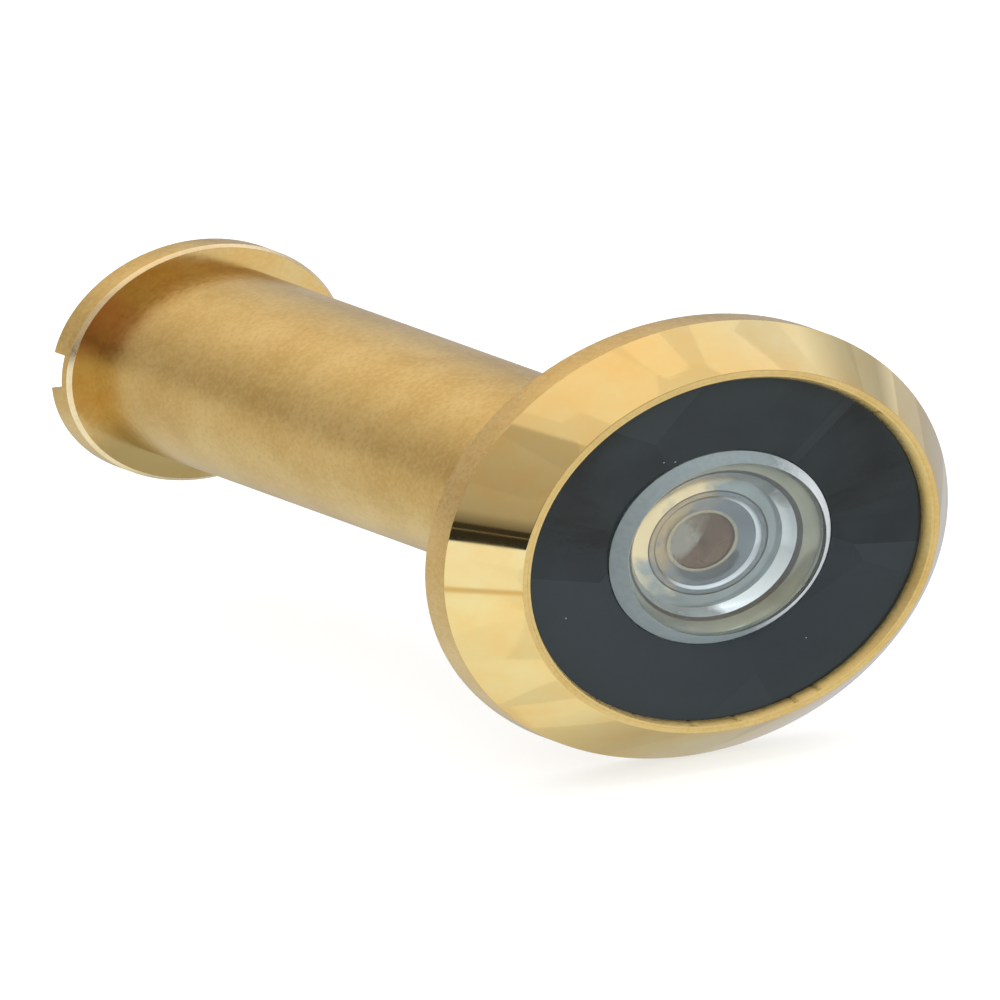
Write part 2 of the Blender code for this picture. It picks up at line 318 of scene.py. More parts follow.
def lens_glass(name, tint):
    """Clear glass with faint smears, which lets the lamp's light through."""
    material, tree, output = node_material(name)
    streaks = noise_at(tree, place(tree), 260.0, detail=5.0, roughness=0.65)
    gloss = spread(tree, streaks, 0.0, 0.02, 0.45, 0.8)
    inputs = {
        "Base Color": (*tint, 1.0),
        "Roughness": gloss,
        "IOR": GLASS_INDEX,
        "Transmission Weight": 1.0,
        "Normal": bumped(tree, streaks, 0.02, 0.01 * MM),
    }
    glass = add(tree, "ShaderNodeBsdfPrincipled", inputs)
    clear = add(tree, "ShaderNodeBsdfTransparent", {"Color": (*tint, 1.0)})
    rays = add(tree, "ShaderNodeLightPath")
    both = add(tree, "ShaderNodeMixShader", {0: rays.outputs["Is Shadow Ray"]})
    tree.links.new(glass.outputs[0], both.inputs[1])
    tree.links.new(clear.outputs[0], both.inputs[2])
    tree.links.new(both.outputs[0], output.inputs[0])
    return material


def ground_glass(name, colour, bright, towards):
    """The frosted finish of a lens's ground edge, with a painted highlight on one side."""
    material, tree, output = node_material(name)
    spot = place(tree)
    grain = noise_at(tree, spot, 3000.0, detail=2.0)
    lighter = tuple(min(1.0, channel * 1.12) for channel in colour)
    base = mix_colour(tree, spread(tree, grain, 0.0, 1.0), colour, lighter)
    # painted highlight: the side that faces towards is painted in the bright colour
    painted_side = on_side(tree, spot, towards, 0.35, 0.8, spread(tree, grain, -0.05, 0.05))
    base = mix_colour(tree, painted_side, base, bright)
    normal = bumped(tree, grain, 0.2, 0.01 * MM)
    inputs = {"Base Color": base, "Roughness": 0.45, "Normal": normal}
    return finished(material, tree, output, inputs)


def painted_light_step(name, colour, painted_side_tone, towards, metallic, roughness, limits=(0.15, 0.85), wander=0.5):
    """A step of the dish, partly metallic, whose colours are painted reflections: cloudy, and painted on
    one side with a second tone, a painted highlight on most steps and painted shade on the olive one.
    towards is that side's direction, from +X to +Z, and limits are the cosines where the tint
    begins and is full."""
    material, tree, output = node_material(name)
    spot = place(tree)
    cloud = noise_at(tree, spot, 450.0, detail=4.0)
    deeper = tuple(channel * 0.7 for channel in colour)
    base = mix_colour(tree, spread(tree, cloud, 0.0, 1.0), colour, deeper)
    painted_side = on_side(tree, spot, towards, *limits, spread(tree, cloud, -wander, wander))
    # the side that faces towards takes the second tone: a painted highlight, but painted shade on the
    # olive step
    base = mix_colour(tree, painted_side, base, painted_side_tone)
    gloss = spread(tree, cloud, roughness * 0.7, roughness * 1.3)
    inputs = {"Base Color": base, "Metallic": metallic, "Roughness": gloss}
    return finished(material, tree, output, inputs)


def black_paint(name, colour, roughness, shine=0.5, dust_and_painted_facets=False):
    """Dark paint or rubber with mottling and a fine grain. With the flag set, it also has pale dust
    and broad straight-edged facets painted lighter: painted reflections."""
    material, tree, output = node_material(name)
    spot = place(tree)
    cloud = noise_at(tree, spot, 300.0, detail=4.0)
    grain = noise_at(tree, spot, 4000.0, detail=2.0)
    lighter = tuple(channel * (2.0 if dust_and_painted_facets else 1.5) + 0.004 for channel in colour)
    base = mix_colour(tree, spread(tree, cloud, 0.0, 0.5 if dust_and_painted_facets else 1.0), colour, lighter)
    if dust_and_painted_facets:
        # broad straight-edged facets painted lighter: painted reflections of the surroundings
        streaks = add(tree, "ShaderNodeTexVoronoi", {"Vector": spot, "Scale": 95.0})
        tone = add(tree, "ShaderNodeSeparateColor", {0: streaks.outputs["Color"]}).outputs[0]
        base = mix_colour(tree, tone, base, lighter)
        cells = add(tree, "ShaderNodeTexVoronoi", {"Vector": spot, "Scale": 1100.0})
        dots = maths(tree, "LESS_THAN", cells.outputs["Distance"], 0.06)
        chosen = maths(tree, "GREATER_THAN", noise_at(tree, spot, 500.0), 0.62)
        base = mix_colour(tree, maths(tree, "MULTIPLY", dots, chosen), base, DUST_COLOUR)
    gloss = spread(tree, cloud, roughness * 0.8, roughness * 1.25)
    normal = bumped(tree, grain, 0.2, 0.02 * MM)
    inputs = {"Base Color": base, "Roughness": gloss, "Specular IOR Level": shine, "Normal": normal}
    return finished(material, tree, output, inputs)


def paper(name, colour):
    """The pale floor: white paper with the faintest cloudiness."""
    material, tree, output = node_material(name)
    cloud = noise_at(tree, place(tree), 12.0, detail=3.0)
    darker = tuple(channel * 0.985 for channel in colour)
    base = mix_colour(tree, spread(tree, cloud, 0.0, 1.0), colour, darker)
    inputs = {"Base Color": base, "Roughness": 0.9, "Specular IOR Level": 0.1}
    return finished(material, tree, output, inputs)


# Tints on the flange face: reddish on its upper side towards -X, and a darker olive towards its bottom.
RED_SIDE_TINT = (radians(149), 0.93, 0.995, (0.66, 0.32, 0.18))
OLIVE_LOW_TINT = (radians(245), 0.72, 0.93, (0.34, 0.26, 0.11))

POLISHED = polished_brass("mirror_brass", (0.84, 0.68, 0.33), (0.86, 0.60, 0.24))
BAND = satin_brass("band_brass", (0.74, 0.56, 0.27), (0.64, 0.45, 0.18), 0.30)
SLEEVE = satin_brass("sleeve_brass", (0.74, 0.56, 0.25), (0.62, 0.43, 0.16), 0.33)
FLANGE = satin_brass(
    "flange_brass", (0.68, 0.51, 0.23), (0.68, 0.43, 0.15), 0.2, side_tints=(RED_SIDE_TINT, OLIVE_LOW_TINT)
)
CHAMFER = satin_brass("chamfer_brass", (0.95, 0.80, 0.54), (0.92, 0.74, 0.44), 0.24, grain=1.5)
# A brighter copy of the brass for the bezel's inner wall: painted light, so that the wall looks lit.
PAINTED_LIGHT_WALL = satin_brass("painted_light_wall_brass", (0.94, 0.76, 0.37), (0.86, 0.64, 0.24), 0.50)
LIP = satin_brass("lip_brass", (0.80, 0.59, 0.25), (0.70, 0.48, 0.17), 0.34)
INSIDE = satin_brass("bore_brass", (0.60, 0.44, 0.22), (0.50, 0.35, 0.15), 0.40)
GLASS = lens_glass("front_glass_clear", (0.93, 0.97, 0.97))
INNER_GLASS = lens_glass("inner_glass_clear", (0.95, 0.98, 0.95))
# The mask's lighter straight-edged facets are painted reflections; its pale specks are dust.
MASK = black_paint("mask_paint", (0.013, 0.019, 0.023), 0.08, shine=0.25, dust_and_painted_facets=True)
# The ground edge's pale colour on its +X side is a painted highlight.
GROUND = ground_glass("ground_edge", (0.25, 0.31, 0.34), (0.80, 0.88, 0.95), radians(-8))
# The dish's steps are coloured as painted reflections of the lens stack, and the dark step is painted
# shade. Each step's second tone is painted on one side: painted highlights, the white crescent and the
# pale arc among them, and painted shade on the olive step.
OLIVE = painted_light_step("olive_step", (0.34, 0.35, 0.26), (0.22, 0.25, 0.22), radians(200), 0.6, 0.2)
DARK_STEP = painted_light_step("dark_step", (0.008, 0.010, 0.009), (0.03, 0.025, 0.015), radians(250), 0.3, 0.2)
BRIGHT_STEP = painted_light_step(
    "bright_step", (0.32, 0.36, 0.36), (0.90, 0.96, 1.0), radians(-28), 0.2, 0.22, (0.48, 0.62), 0.12
)
FLOOR_STEP = painted_light_step("floor_step", (0.26, 0.31, 0.32), (0.80, 0.64, 0.38), radians(150), 0.85, 0.2)
ARC_STEP = painted_light_step(
    "arc_step", (0.24, 0.20, 0.12), (0.82, 0.88, 0.96), radians(-35), 0.3, 0.2, (-0.4, 0.15), 0.1
)
INNER_STEP = painted_light_step("inner_step", (0.16, 0.20, 0.23), (0.42, 0.32, 0.18), radians(150), 0.8, 0.2)
RING_STEP = painted_light_step("ring_step", (0.34, 0.32, 0.22), (0.44, 0.36, 0.22), radians(150), 0.7, 0.2)
MIDDLE = painted_light_step("middle_step", (0.12, 0.06, 0.02), (0.30, 0.28, 0.23), radians(160), 0.6, 0.3)
RUBBER = black_paint("seal_rubber", (0.015, 0.015, 0.015), 0.65)
BAFFLE = black_paint("baffle_coating", (0.02, 0.02, 0.022), 0.5)


# ---------------------------------------------------------------- turned shapes


def softened(outline, radius, steps=4, crisp=()):
    """The outline with each corner that turns sharply replaced by an arc, but for the ones in
    crisp. Points are (r, y, zone)."""
    count = len(outline)
    smooth = []
    for i, (r, y, zone) in enumerate(outline):
        here = Vector((r, y))
        before = Vector(outline[i - 1][:2]) - here
        after = Vector(outline[(i + 1) % count][:2]) - here
        on_axis = r < TINY or before.length < TINY or after.length < TINY
        if on_axis or i in crisp or before.angle(after) > FLAT_CORNER:
            smooth.append((r, y, zone))
            continue
        half = before.angle(after) / 2.0
        reach = min(radius / tan(half), before.length * 0.45, after.length * 0.45)
        start = here + before.normalized() * reach
        end = here + after.normalized() * reach
        zone_before = outline[i - 1][2]
        for step in range(steps + 1):
            t = step / steps
            point = start * (1 - t) ** 2 + here * (2 * t * (1 - t)) + end * t**2
            smooth.append((point.x, point.y, zone_before if t < 0.5 else zone))
    return smooth


def divided(outline, longest):
    """The outline with its long straight spans divided, so that a thread or a dent can shape them.
    longest has the longest length of a span in each zone that is divided."""
    fine = []
    for i, (r, y, zone) in enumerate(outline):
        r2, y2, _ = outline[(i + 1) % len(outline)]
        length = sqrt((r2 - r) ** 2 + (y2 - y) ** 2)
        count = max(1, int(length / longest[zone])) if zone in longest else 1
        for k in range(count):
            t = k / count
            fine.append((r + (r2 - r) * t, y + (y2 - y) * t, zone))
    return fine


def turned(name, outline, materials, steps=FINE, shape=None):
    """Turns a closed outline round the Y axis. Each span takes the material of its zone, and
    shape(angle, radius, y, zone) may move a point."""
    mesh = bmesh.new()
    rings = []
    for r, y, zone in outline:
        if r < TINY:
            rings.append([mesh.verts.new((0.0, y, 0.0))])
            continue
        ring = []
        for k in range(steps):
            angle = 2.0 * pi * k / steps
            radius, along = shape(angle, r, y, zone) if shape else (r, y)
            ring.append(mesh.verts.new((radius * cos(angle), along, -radius * sin(angle))))
        rings.append(ring)
    for i, (_, _, zone) in enumerate(outline):
        first, second = rings[i], rings[(i + 1) % len(rings)]
        if len(first) == 1 and len(second) == 1:
            continue
        for k in range(steps):
            a, b = first[k % len(first)], first[(k + 1) % len(first)]
            c, d = second[(k + 1) % len(second)], second[k % len(second)]
            corners = list(dict.fromkeys((a, d, c, b)))
            mesh.faces.new(corners).material_index = zone
    bmesh.ops.recalc_face_normals(mesh, faces=mesh.faces)
    data = bpy.data.meshes.new(name)
    mesh.to_mesh(data)
    mesh.free()
    for material in materials:
        data.materials.append(material)
    data.shade_smooth()
    data.set_sharp_from_angle(angle=SHARP_EDGE)
    piece = bpy.data.objects.new(name, data)
    bpy.context.scene.collection.objects.link(piece)
    return piece


def cap(radius, edge_y, sag, zone, from_axis, points=24):
    """(r, y, zone) points on a lens surface whose middle stands sag from its edge, in the order
    from the axis or towards it."""
    curvature = (radius * radius + sag * sag) / (2.0 * abs(sag))
    side = 1.0 if sag > 0.0 else -1.0
    arc = []
    for i in range(points):
        across = radius * i / (points - 1)
        drop = curvature - sqrt(curvature * curvature - across * across)
        arc.append((across, edge_y + sag - side * drop, zone))
    return arc if from_axis else arc[::-1]


def thread_height(angle, y, flat):
    """0 at the root and 1 at the crest of the thread, at this angle and place along the axis."""
    turn = (y - THREAD_START) / PITCH - angle / (2.0 * pi)
    off_crest = abs(turn - round(turn)) * 2.0
    return min(1.0, max(0.0, (1.0 - off_crest - flat) / (1.0 - 2.0 * flat)))


def cut_box(piece, size, centre, angle):
    """Cuts a box out of the piece, turned by angle about Y."""
    mesh = bpy.data.meshes.new("slot")
    box = bmesh.new()
    bmesh.ops.create_cube(box, size=1.0)
    box.to_mesh(mesh)
    box.free()
    cutter = bpy.data.objects.new("slot", mesh)
    bpy.context.scene.collection.objects.link(cutter)
    turn = Matrix.Rotation(angle, 4, "Y")
    cutter.matrix_world = Matrix.Translation(centre) @ turn @ Matrix.Diagonal((*size, 1.0))
    cut = piece.modifiers.new("slot", "BOOLEAN")
    cut.operation = "DIFFERENCE"
    cut.solver = "EXACT"
    cut.object = cutter
    bpy.context.view_layer.update()
    depsgraph = bpy.context.evaluated_depsgraph_get()
    data = bpy.data.meshes.new_from_object(piece.evaluated_get(depsgraph), depsgraph=depsgraph)
    piece.modifiers.clear()
    piece.data = data
    data.set_sharp_from_angle(angle=SHARP_EDGE)
    bpy.data.objects.remove(cutter)


def settle(piece, body, node):
    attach(piece, body)
    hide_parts(node)


# ---------------------------------------------------------------- street half


def street_barrel():
    """The head with its mirror bevel, and the threaded shank."""
    mirror, band, lip, thread, inside, rear = range(6)
    outline = [
        (SHANK_BORE, SHANK_LENGTH, rear),
        (MALE_ROOT - 0.3 * MM, SHANK_LENGTH, rear),
        (MALE_ROOT, SHANK_LENGTH - 0.3 * MM, thread),
        (MALE_ROOT, NECK_END, rear),
        (MALE_ROOT, -UNDERCUT_DEPTH, rear),
        (UNDERCUT_RADIUS, -UNDERCUT_DEPTH, rear),
        (UNDERCUT_RADIUS, 0.0, rear),
        (HEAD_RADIUS, 0.0, band),
        (HEAD_RADIUS, -RIM_BAND, mirror),
        (LIP_RADIUS, -HEAD_HEIGHT, lip),
        (POCKET_RADIUS, -HEAD_HEIGHT, inside),
        (POCKET_RADIUS, POCKET_FLOOR, inside),
        (SEAT_RADIUS, POCKET_FLOOR, inside),
        (SEAT_RADIUS, SEAT_FLOOR, inside),
        (SHOULDER_BORE, SEAT_FLOOR, inside),
        (SHOULDER_BORE, SHOULDER_END, inside),
        (SHANK_BORE, SHOULDER_END, inside),
    ]
    lip_corner = outline.index((POCKET_RADIUS, -HEAD_HEIGHT, inside))
    outline = softened(outline, 0.09 * MM, crisp=(lip_corner,))
    outline = divided(outline, {thread: PITCH / 16})

    def shape(angle, radius, y, zone):
        if zone != thread:
            return radius, y
        into = min(1.0, max(0.0, (y - THREAD_START + 0.5 * MM) / PITCH))
        out = min(1.0, max(0.0, (MALE_END - y) / PITCH))
        depth = (MALE_CREST - MALE_ROOT) * thread_height(angle, y, 0.14)
        return radius + depth * min(into, out), y

    materials = [POLISHED, BAND, LIP, SLEEVE, INSIDE, BAND]
    piece = turned("street_barrel", outline, materials, shape=shape)
    settle(piece, "street_half", "outer_barrel")


def bezel():
    """The ring pressed in over the glass, with a few staking nicks round its inner edge."""
    flat, wall = range(2)
    inner, outer = BEZEL_BORE, POCKET_RADIUS - 0.008 * MM
    front, back = -HEAD_HEIGHT, MASK_FRONT - 0.02 * MM
    outline = [
        (inner, back, flat),
        (outer, back, flat),
        (outer, front, flat),
        *arc_span((inner + 0.27 * MM, front), (inner, back - 0.04 * MM), -0.05 * MM, wall),
        (inner, back - 0.04 * MM, wall),
    ]
    outline = divided(outline, {flat: 0.12 * MM})
    nicks = [radians(a) for a in (64.0, 71.0, 88.0, 101.0, 118.0, 131.0, 203.0, 262.0, 318.0)]
    nick_half, nick_depth = 0.18 * MM, 0.10 * MM

    def shape(angle, radius, y, zone):
        if radius > inner + 0.2 * MM or y < front + 0.05 * MM:
            return radius, y
        for nick in nicks:
            away = abs((angle - nick + pi) % (2.0 * pi) - pi) * inner
            if away < nick_half:
                return radius + nick_depth * (1.0 - away / nick_half), y
        return radius, y

    # the inner wall takes the brighter brass, painted light
    piece = turned("bezel_band", outline, [LIP, PAINTED_LIGHT_WALL], steps=BEZEL_STEPS, shape=shape)
    settle(piece, "street_half", "bezel_ring")


def front_glass():
    """The clear front lens: a raised middle with a ground bevel, and a flange behind the mask."""
    clear, ground = range(2)
    outline = [
        (0.0, HUB_BACK - 0.08 * MM, clear),
        (HUB_BORE - 0.15 * MM, HUB_BACK, clear),
        (HUB_BORE, HUB_BACK + 0.15 * MM, clear),
        (HUB_BORE, GLASS_REAR, clear),
        (GLASS_RADIUS - 0.6 * MM, GLASS_REAR, clear),
        (GLASS_RADIUS, GLASS_REAR - 0.6 * MM, clear),
        (GLASS_RADIUS, MASK_BACK + 0.05 * MM, clear),
        (WINDOW_RADIUS, MASK_BACK + 0.05 * MM, clear),
        (WINDOW_RADIUS, MASK_EDGE, ground),
        (HUB_RADIUS, HUB_FRONT, clear),
        (0.0, HUB_FRONT - 0.05 * MM, clear),
    ]
    outline = softened(outline, 0.05 * MM)
    piece = turned("front_glass", outline, [GLASS, GROUND])
    settle(piece, "street_half", "front_lens")


def window_mask():
    """The glossy black ring round the window. Its inner edge is a little ragged."""
    inner = WINDOW_RADIUS + 0.05 * MM
    lobes, raggedness = 16.0, 0.05 * MM
    outline = [
        (inner, MASK_BACK, 0),
        (GLASS_RADIUS, MASK_BACK, 0),
        (GLASS_RADIUS, MASK_FRONT, 0),
        (GLASS_RADIUS - 0.5 * MM, MASK_FRONT, 0),
        (inner, MASK_EDGE, 0),
    ]

    def shape(angle, radius, y, zone):
        if radius > inner + 0.2 * MM:
            return radius, y
        fine = noise.noise((cos(angle) * lobes, sin(angle) * lobes, 0.0))
        return radius + raggedness * max(0.0, fine), y

    piece = turned("window_mask", softened(outline, 0.02 * MM), [MASK], steps=MASK_STEPS, shape=shape)
    settle(piece, "street_half", "mask_ring")


def rubber_seal():
    """A ring of round section behind the rim of the front glass."""
    sides = 16
    outline = []
    for k in range(sides):
        angle = 2.0 * pi * k / sides
        r = SEAL_RADIUS + SEAL_SECTION * cos(angle)
        y = SEAL_MIDDLE - SEAL_SECTION * sin(angle)
        outline.append((r, y, 0))
    piece = turned("rubber_seal", outline, [RUBBER])
    settle(piece, "street_half", "lens_seal")


def arc_span(start, end, bulge, zone, points=10):
    """(r, y, zone) points from start to end, whose middle stands bulge off the chord."""
    (r1, y1), (r2, y2) = start, end
    span = sqrt((r2 - r1) ** 2 + (y2 - y1) ** 2)
    across = ((y2 - y1) / span, -(r2 - r1) / span)
    arc = []
    for i in range(points):
        t = i / points
        off = 4.0 * bulge * t * (1.0 - t)
        arc.append((r1 + (r2 - r1) * t + across[0] * off, y1 + (y2 - y1) * t + across[1] * off, zone))
    return arc


def dish_glass():
    """The second lens, a dish that opens to the street and steps down to its middle."""
    clear, olive, dark, bright, floor, inner, ring, arc, middle = range(9)
    room = SEAT_FLOOR - 0.05 * MM
    rim = SEAT_RADIUS - 0.1 * MM
    side = HUB_BORE - 0.15 * MM
    outline = [
        *cap(4.6 * MM, room, -0.6 * MM, clear, from_axis=True),
        (rim, room, clear),
        (rim, -1.2 * MM, clear),
        (side, -1.3 * MM, olive),
        (side, DISH_RIM + 0.1 * MM, olive),
        (side - 0.1 * MM, DISH_RIM, olive),
        *arc_span(DISH_EDGE, SHELF_EDGE, 0.08 * MM, olive),
        (*SHELF_EDGE, dark),
        *arc_span(STEP_TOP, STEP_FOOT, 0.03 * MM, bright),
        *arc_span(STEP_FOOT, FLOOR_END, -0.04 * MM, floor),
        (*GROOVE_START, dark),
        (*GROOVE_END, inner),
        *arc_span(ARC_FOOT, ARC_TOP, 0.03 * MM, arc),
        *arc_span(ARC_TOP, RING_START, -0.04 * MM, inner),
        (*RING_START, ring),
        (*RING_END, middle),
        *arc_span(MIDDLE_EDGE, MIDDLE_TOP, -0.12 * MM, middle),
        (*MIDDLE_TOP, middle),
    ]
    # The steps' materials carry painted reflections and painted shade.
    materials = [INNER_GLASS, OLIVE, DARK_STEP, BRIGHT_STEP, FLOOR_STEP]
    materials += [INNER_STEP, RING_STEP, ARC_STEP, MIDDLE]
    piece = turned("dish_glass", outline, materials)
    settle(piece, "street_half", "second_lens")


def inner_glass():
    """The small lens in the mouth of the shank."""
    street, room = SHOULDER_END + 0.05 * MM, SHOULDER_END + 2.05 * MM
    outline = [
        *cap(4.2 * MM, room, -0.6 * MM, 0, from_axis=True),
        (STACK_RADIUS, room, 0),
        (STACK_RADIUS, street, 0),
        *cap(4.2 * MM, street, 0.5 * MM, 0, from_axis=False),
    ]
    piece = turned("inner_glass", outline, [INNER_GLASS], steps=SMALL)
    settle(piece, "street_half", "third_lens")


def plain_ring(name, node, body, inner, street, room, outer, material, soft=0.06 * MM):
    """A ring with a square section from street to room along the axis, its corners softened."""
    outline = [(inner, room, 0), (outer, room, 0), (outer, street, 0), (inner, street, 0)]
    piece = turned(name, softened(outline, soft), [material], steps=SMALL)
    settle(piece, body, node)
    return piece


def driver_slot(ring, room, length):
    """Cuts a slot for a driver across the room face of a ring."""
    size = (length, 2.0 * DRIVER_SLOT_DEPTH, DRIVER_SLOT_WIDTH)
    cut_box(ring, size, (0.0, room, 0.0), 0.0)


def lens_stack():
    """The baffle, the stop and the lock ring behind the lenses."""
    plain_ring("black_baffle", "baffle_tube", "street_half",
               4.3 * MM, BAFFLE_START, BAFFLE_END, STACK_RADIUS, BAFFLE)
    plain_ring("black_stop", "field_stop", "street_half",
               2.6 * MM, BAFFLE_END + GAP, STOP_END, STACK_RADIUS, BAFFLE, 0.03 * MM)
    lock = plain_ring("stack_lock_ring", "lens_lock_ring", "street_half",
                      3.9 * MM, STOP_END + GAP, LOCK_END, STACK_RADIUS, BAND)
    driver_slot(lock, LOCK_END, 12.0 * MM)


# ---------------------------------------------------------------- room half


def brass_sleeve():
    """The plain round sleeve, its flange with a slot for a driver, and the eyepiece pocket."""
    body, face, bore, thread, edge, room = range(6)
    outline = [
        (EYE_POCKET, SLEEVE_END, room),
        (FLANGE_RADIUS, SLEEVE_END, body),
        (FLANGE_RADIUS, FLANGE_FRONT + FLANGE_CHAMFER, edge),
        (FLANGE_RADIUS - FLANGE_CHAMFER, FLANGE_FRONT, face),
        (SLEEVE_RADIUS, FLANGE_FRONT, body),
        (SLEEVE_RADIUS, SLEEVE_FRONT + 0.15 * MM, body),
        (SLEEVE_RADIUS - 0.15 * MM, SLEEVE_FRONT, body),
        (FEMALE_CREST + 0.3 * MM, SLEEVE_FRONT, thread),
        (FEMALE_CREST, SLEEVE_FRONT + 0.3 * MM, thread),
        (FEMALE_CREST, SLEEVE_FRONT + THREAD_ZONE, thread),
        (RELIEF_BORE, RELIEF_START, bore),
        (RELIEF_BORE, EYE_SHOULDER - EYE_SHOULDER_THICKNESS, bore),
        (EYE_APERTURE, EYE_SHOULDER - EYE_SHOULDER_THICKNESS, bore),
        (EYE_APERTURE, EYE_SHOULDER, bore),
        (EYE_POCKET, EYE_SHOULDER, bore),
    ]
    corner = outline.index((SLEEVE_RADIUS, FLANGE_FRONT, body))
    outline = divided(softened(outline, 0.05 * MM, crisp=(corner,)), {thread: PITCH / 16})

    def shape(angle, radius, y, zone):
        if radius > FEMALE_ROOT or y > RELIEF_START:
            return radius, y
        depth = (FEMALE_ROOT - FEMALE_CREST) * thread_height(angle, y, 0.2)
        return max(radius, FEMALE_CREST + depth), y

    piece = turned("brass_sleeve", outline, [SLEEVE, FLANGE, INSIDE, INSIDE, CHAMFER, BAND], shape=shape)
    size = (2.4 * FLANGE_RADIUS, 2.0 * SLOT_DEPTH, SLOT_WIDTH)
    cut_box(piece, size, (0.0, SLEEVE_END, 0.0), -SLOT_ANGLE)
    settle(piece, "sleeve", "inner_barrel")


def eyepiece_glass():
    """The lens that the eye looks into."""
    street, room = EYE_GLASS_START, EYE_GLASS_END
    outline = [
        *cap(4.5 * MM, room, 0.8 * MM, 0, from_axis=True),
        (EYE_POCKET - 0.15 * MM, room, 0),
        (EYE_POCKET - 0.15 * MM, street, 0),
        *cap(4.4 * MM, street, -0.8 * MM, 0, from_axis=False),
    ]
    piece = turned("eyepiece_glass", outline, [GLASS], steps=SMALL)
    settle(piece, "eyepiece", "eyepiece_lens")


def eyepiece_rings():
    """The seat under the eyepiece glass and the ring that locks it."""
    plain_ring("eyepiece_seat", "eyepiece_washer", "eyepiece",
               EYE_BORE, EYE_SHOULDER + GAP, EYE_GLASS_START - GAP, EYE_RADIUS, RUBBER, 0.05 * MM)
    lock = plain_ring("eyepiece_lock_ring", "eyepiece_ring", "eyepiece",
                      EYE_BORE, EYE_GLASS_END + GAP, EYE_RING_END, EYE_RADIUS, BAND)
    driver_slot(lock, EYE_RING_END, 13.0 * MM)


# ---------------------------------------------------------------- studio


# Brightness of the surroundings against the sine of the height, in front on the left, behind,
# and on the right. The first begins with the dark line where the table ends.
FRONT_WALL = (
    (0.0, 0.03), (0.030, 0.03), (0.034, 0.35), (0.038, 0.03), (0.075, 0.04), (0.085, 0.16),
    (0.13, 0.28), (0.17, 0.40), (0.30, 0.45), (0.50, 0.50), (0.690, 0.57), (0.705, 0.88), (1.0, 1.0),
)
BACK_WALL = (
    (0.0, 0.45), (0.04, 0.50), (0.12, 0.60), (0.35, 0.66), (0.52, 0.80), (0.62, 0.98), (1.0, 1.05),
)
RIGHT_WALL = (
    (0.0, 0.75), (0.05, 0.62), (0.10, 0.48), (0.22, 0.55), (0.30, 0.62), (0.42, 0.85),
    (0.50, 1.02), (0.70, 0.95), (1.0, 1.0),
)
# The table as the brass mirrors it. In front, by depth: its dark edge, and a brown seam.
FRONT_TABLE = (
    (0.0, (0.03, 0.03, 0.03)), (0.045, (0.03, 0.03, 0.03)), (0.055, (1.0, 1.0, 1.05)),
    (0.352, (0.98, 1.0, 1.04)), (0.368, (0.72, 0.60, 0.44)), (0.385, (0.76, 0.62, 0.45)),
    (0.405, (0.98, 0.98, 0.96)), (1.0, (0.95, 0.96, 0.96)),
)
BACK_TABLE = (0.78, 0.71, 0.63)
RIGHT_TABLE = (0.58, 0.58, 0.58)
STEEP_TABLE = (0.98, 0.98, 0.98)  # deep down behind, on the left
LEFT_TINT = (1.05, 0.94, 0.80)
RIGHT_TINT = (0.98, 1.0, 1.12)
TABLE_TINT = (0.98, 1.0, 0.98)

STRETCH_ANGLE = radians(41.933)  # the picture is 1 / cos of this as wide as the object looks
VIEW_AZIMUTH = radians(-33.817)
VIEW_ELEVATION = radians(18.935)
VIEW_DISTANCE = 1700.0 * MM
VIEW_ASIDE = -9.393 * MM
VIEW_ABOVE = 2.284 * MM
LENS_MM = 875.592
SENSOR_MM = 36.0

FLOOR_HALF = 6.0
FLOOR_GAP = 0.2 * MM
LAMP_PLACE = (0.1, 0.3, 1.2)
LAMP_SIZE = 1.4
LAMP_POWER = 19.0
LAMP_COLOUR = (0.95, 1.0, 1.05)


def studio_camera():
    """A long lens from above on the street side. The main picture is stretched across, so the
    camera's parent skews its across direction to widen it."""
    az, el = VIEW_AZIMUTH, VIEW_ELEVATION
    across = Vector((cos(az), sin(az), 0.0))
    back = Vector((sin(az) * cos(el), -cos(az) * cos(el), sin(el)))
    up = back.cross(across)
    eye = across * VIEW_ASIDE + up * VIEW_ABOVE + back * VIEW_DISTANCE
    skewed = across * cos(STRETCH_ANGLE) + back * sin(STRETCH_ANGLE)
    data = bpy.data.cameras.new("camera")
    data.lens = LENS_MM
    data.sensor_width = SENSOR_MM
    data.clip_start = 0.05
    data.clip_end = 20.0
    camera = bpy.data.objects.new("camera", data)
    stand = bpy.data.objects.new("camera_stand", None)
    for item in (camera, stand):
        bpy.context.scene.collection.objects.link(item)
    camera.parent = stand
    columns = [(*skewed, 0.0), (*up, 0.0), (*back, 0.0), (*eye, 1.0)]
    camera.matrix_parent_inverse = Matrix(columns).transposed()
    bpy.context.scene.camera = camera


def studio_floor():
    mesh = bpy.data.meshes.new("floor")
    half, low = FLOOR_HALF, CAD_LOW.z - FLOOR_GAP
    corners = [(-half, -half, low), (half, -half, low), (half, half, low), (-half, half, low)]
    mesh.from_pydata(corners, [], [(0, 1, 2, 3)])
    mesh.materials.append(paper("white_paper", (0.78, 0.79, 0.80)))
    floor = bpy.data.objects.new("floor", mesh)
    bpy.context.scene.collection.objects.link(floor)
    floor.visible_glossy = False  # polished metal mirrors the world's table instead


def studio_lamp():
    """A broad soft lamp overhead that lights without shadows and isn't mirrored."""
    data = bpy.data.lights.new("top_lamp", "AREA")
    data.size = LAMP_SIZE
    data.energy = LAMP_POWER
    data.color = LAMP_COLOUR
    data.use_shadow = False
    lamp = bpy.data.objects.new("top_lamp", data)
    lamp.location = LAMP_PLACE
    lamp.rotation_euler = (-Vector(LAMP_PLACE)).to_track_quat("-Z", "Y").to_euler()
    lamp.visible_glossy = False
    bpy.context.scene.collection.objects.link(lamp)


def grey_ramp(tree, height, stops):
    return ramp(tree, height, [(position, (level,) * 3) for position, level in stops])


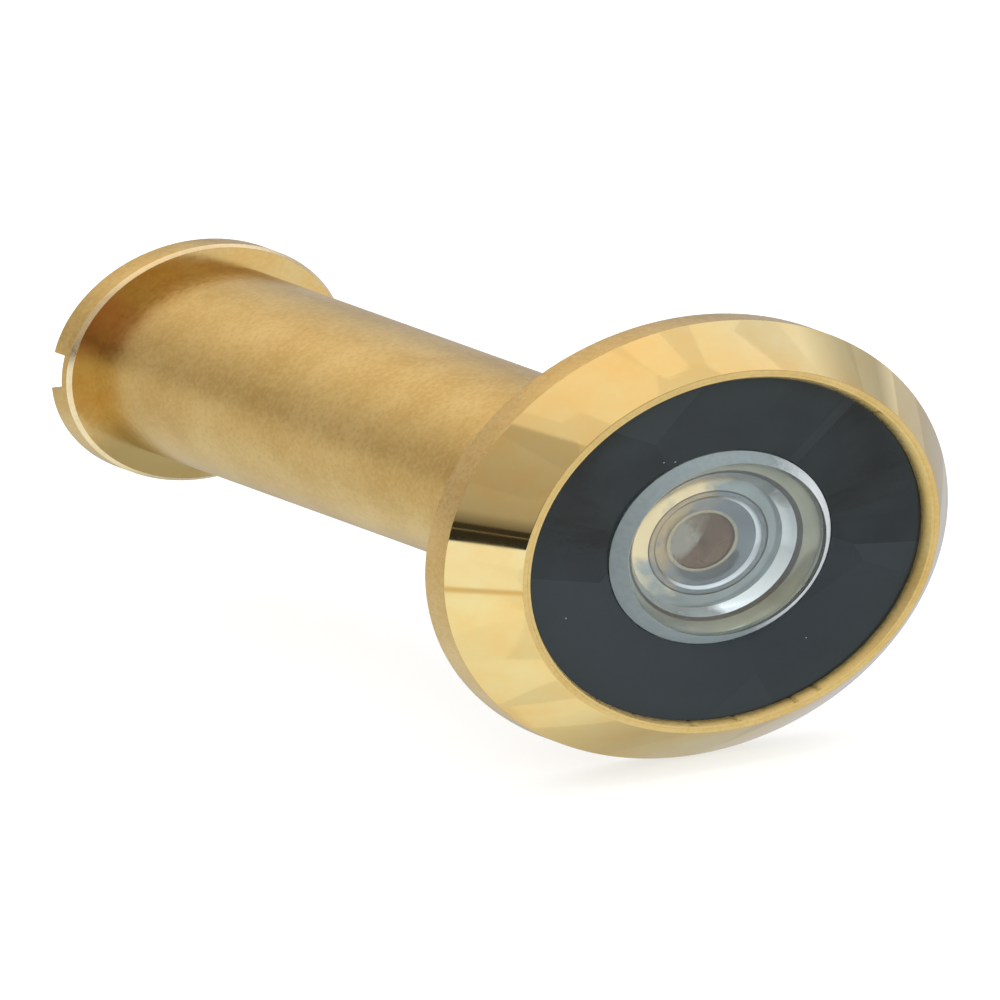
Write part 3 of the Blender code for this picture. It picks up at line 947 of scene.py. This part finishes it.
def studio_world():
    """Soft surroundings: dull walls, warm on the left and cool on the right, a bright ceiling,
    and a pale table. The walls have faint broad panes."""
    world = bpy.data.worlds.new("studio")
    bpy.context.scene.world = world
    world.use_nodes = True
    tree = world.node_tree
    tree.nodes.clear()
    where = add(tree, "ShaderNodeTexCoord").outputs["Generated"]
    x, y, height = add(tree, "ShaderNodeSeparateXYZ", {0: where}).outputs
    behind = spread(tree, y, 0.0, 1.0, 0.1, 0.6)
    right = spread(tree, x, 0.0, 1.0, 0.25, 0.7)
    front_wall, back_wall, right_wall = (
        grey_ramp(tree, height, stops) for stops in (FRONT_WALL, BACK_WALL, RIGHT_WALL)
    )
    walls = mix_colour(tree, behind, front_wall, back_wall)
    walls = mix_colour(tree, right, walls, right_wall)
    front = ramp(tree, maths(tree, "MULTIPLY", height, -1.0), FRONT_TABLE)
    table = mix_colour(tree, spread(tree, y, 0.0, 1.0, -0.35, 0.3), front, BACK_TABLE)
    not_front = spread(tree, y, 0.0, 1.0, -0.6, 0.0)
    table_right = maths(tree, "MULTIPLY", spread(tree, x, 0.0, 1.0, -0.1, 0.25), not_front)
    table = mix_colour(tree, table_right, table, RIGHT_TABLE)
    steep = spread(tree, height, 0.9, 0.0, -0.65, -0.35)
    steep = maths(tree, "MULTIPLY", steep, spread(tree, y, 0.0, 1.0, 0.45, 0.75))
    steep = maths(tree, "MULTIPLY", steep, spread(tree, x, 1.0, 0.0, 0.1, 0.5))
    table = mix_colour(tree, steep, table, STEEP_TABLE)
    below = maths(tree, "LESS_THAN", height, 0.0)
    level = mix_colour(tree, below, walls, table)
    tint = mix_colour(tree, below, LEFT_TINT, TABLE_TINT)
    cool = maths(tree, "MULTIPLY", right, not_front)
    tint = mix_colour(tree, cool, tint, RIGHT_TINT)
    tone = mix_colour(tree, 1.0, level, tint, blend="MULTIPLY")
    panes = add(tree, "ShaderNodeTexVoronoi", {"Vector": where, "Scale": 3.0})
    pane = add(tree, "ShaderNodeSeparateColor", {0: panes.outputs["Color"]}).outputs[0]
    strength = spread(tree, pane, 0.9, 1.1, 0.0, 1.0)
    back = add(tree, "ShaderNodeBackground", {"Color": tone, "Strength": strength})
    output = add(tree, "ShaderNodeOutputWorld")
    tree.links.new(back.outputs[0], output.inputs[0])


def studio():
    studio_camera()
    studio_floor()
    studio_world()
    studio_lamp()
    bpy.context.scene.view_settings.view_transform = "Standard"


street_barrel()
bezel()
front_glass()
window_mask()
rubber_seal()
dish_glass()
inner_glass()
lens_stack()
brass_sleeve()
eyepiece_glass()
eyepiece_rings()
studio()
